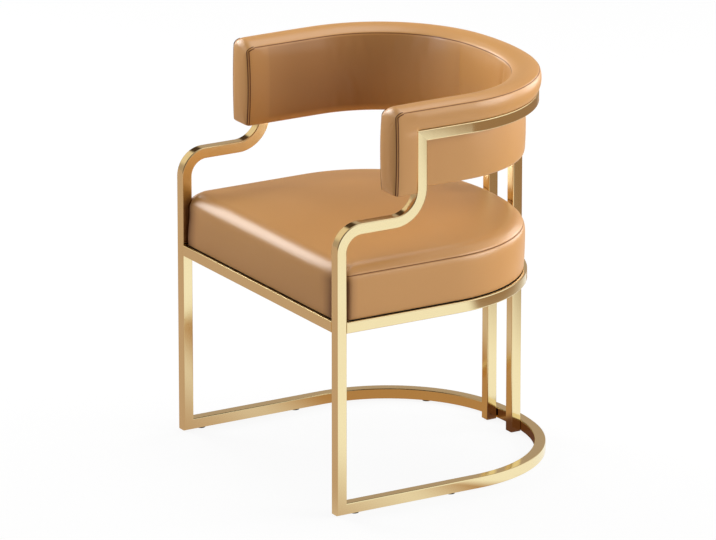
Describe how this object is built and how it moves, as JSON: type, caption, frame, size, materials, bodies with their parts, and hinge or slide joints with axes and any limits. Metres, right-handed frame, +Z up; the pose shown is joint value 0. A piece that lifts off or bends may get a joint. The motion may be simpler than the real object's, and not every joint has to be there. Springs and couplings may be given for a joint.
{
  "type": "reception chair",
  "caption": "Low-backed reception chair: bent square-tube frame with a closed base ring, D-shaped upholstered seat and a curved backrest pad from arm to arm.",
  "frame": {"origin": "on the floor under the middle of the chair's bounding box", "axes": "+Z up, -Y towards the front, +X to the right as seen from the front"},
  "size_m": [0.5682, 0.544, 0.7181],
  "materials": {
    "gold_steel": "gold-coloured plating on steel tube, mirror polished",
    "zinc_steel": "zinc-plated steel",
    "glide_plastic": "black moulded plastic",
    "black_cloth": "thin non-woven cloth",
    "plywood": "plain birch plywood",
    "foam": "soft upholstery foam",
    "tan_leather": "smooth caramel leather with a soft sheen"
  },
  "bodies": {
    "root": {"left_side_tube": "gold_steel", "right_side_tube": "gold_steel", "base_ring": "gold_steel", "seat_ring": "gold_steel", "front_rail": "gold_steel", "rear_post_left": "gold_steel", "rear_post_right": "gold_steel", "back_ring": "gold_steel", "floor_glides": "glide_plastic", "post_end_plugs": "glide_plastic", "seat_fixing_tabs": "gold_steel", "seat_dust_cover": "black_cloth", "seat_board": "plywood", "seat_t_nuts": "zinc_steel", "seat_screws": "zinc_steel", "seat_foam": "foam", "seat_boxing": "tan_leather", "seat_top_cover": "tan_leather", "back_rivet_nuts": "zinc_steel", "back_spacers": "zinc_steel", "back_screws": "zinc_steel", "back_shell": "plywood", "back_foam": "foam", "back_cover": "tan_leather", "back_piping_left": "tan_leather", "back_piping_right": "tan_leather", "back_outer_panel": "tan_leather"}
  },
  "joints": []
}
